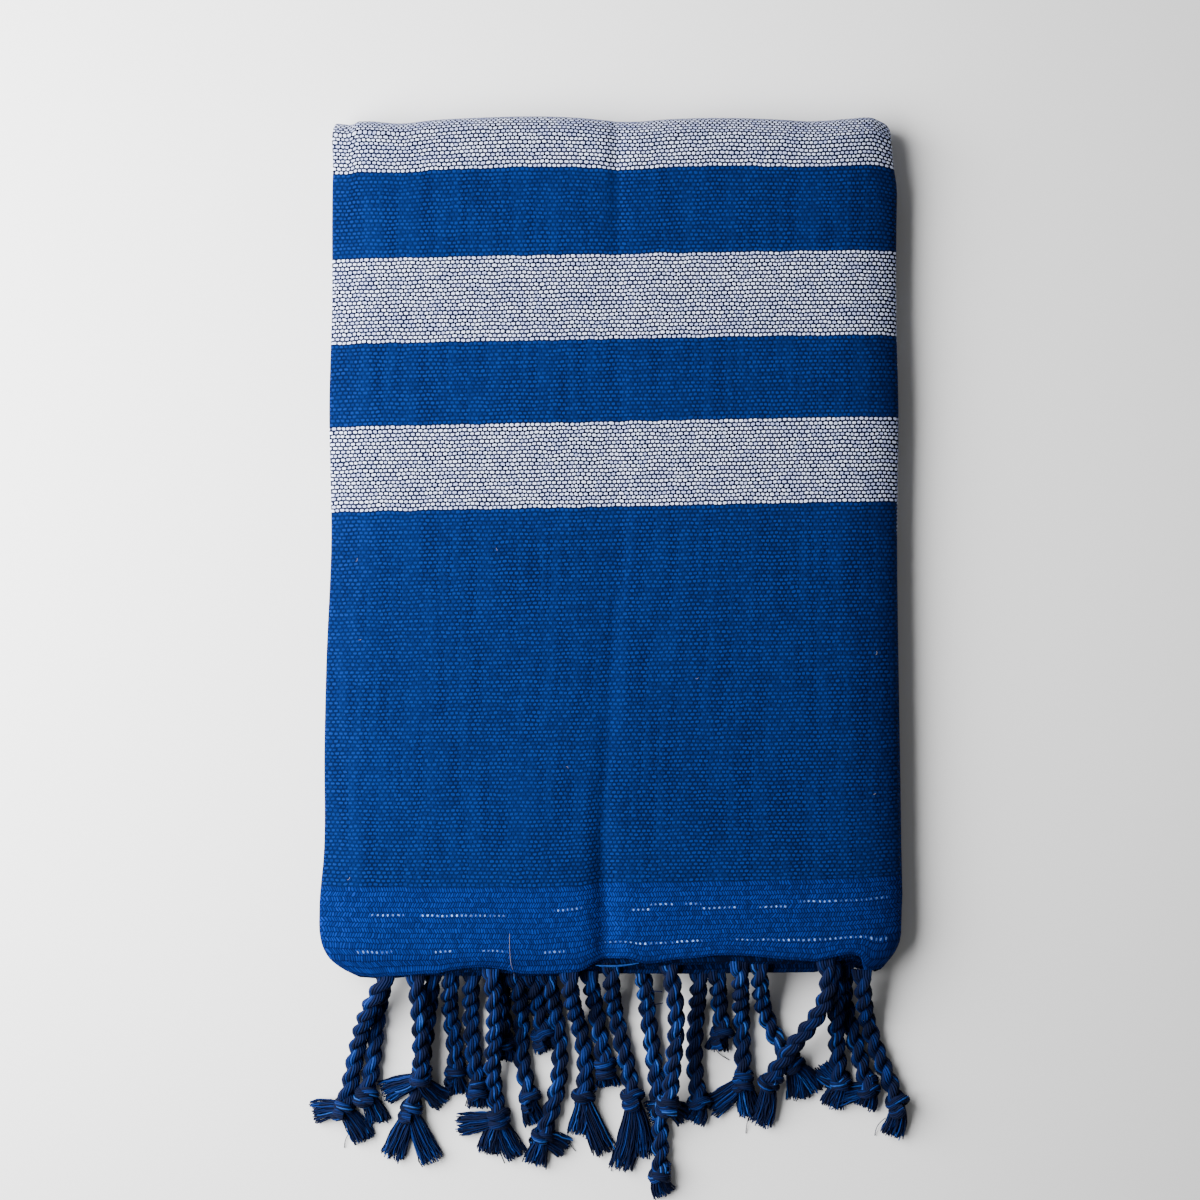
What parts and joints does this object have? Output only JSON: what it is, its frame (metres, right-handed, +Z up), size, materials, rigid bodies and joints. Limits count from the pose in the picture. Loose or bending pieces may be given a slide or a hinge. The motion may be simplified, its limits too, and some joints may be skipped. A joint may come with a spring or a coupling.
{
  "type": "folded fouta towel",
  "caption": "Striped cotton fouta towel folded into a flat oblong pack, with twisted and knotted fringe ropes fanned out at one end.",
  "frame": {"origin": "middle of the flat underside of the folded cloth, on the surface that it lies on", "axes": "+X across the pack towards its thick folded edge, +Y away from the fringe towards the far fold, +Z up"},
  "size_m": [0.2663, 0.4771, 0.0263],
  "materials": {
    "cloth": "plain-weave cotton, blue with white stripes, matte",
    "fringe": "twisted cotton ropes, navy, matte"
  },
  "bodies": {
    "root": {"folded_cloth": "cloth", "fringe_upper": "fringe", "fringe_lower": "fringe"}
  },
  "joints": []
}
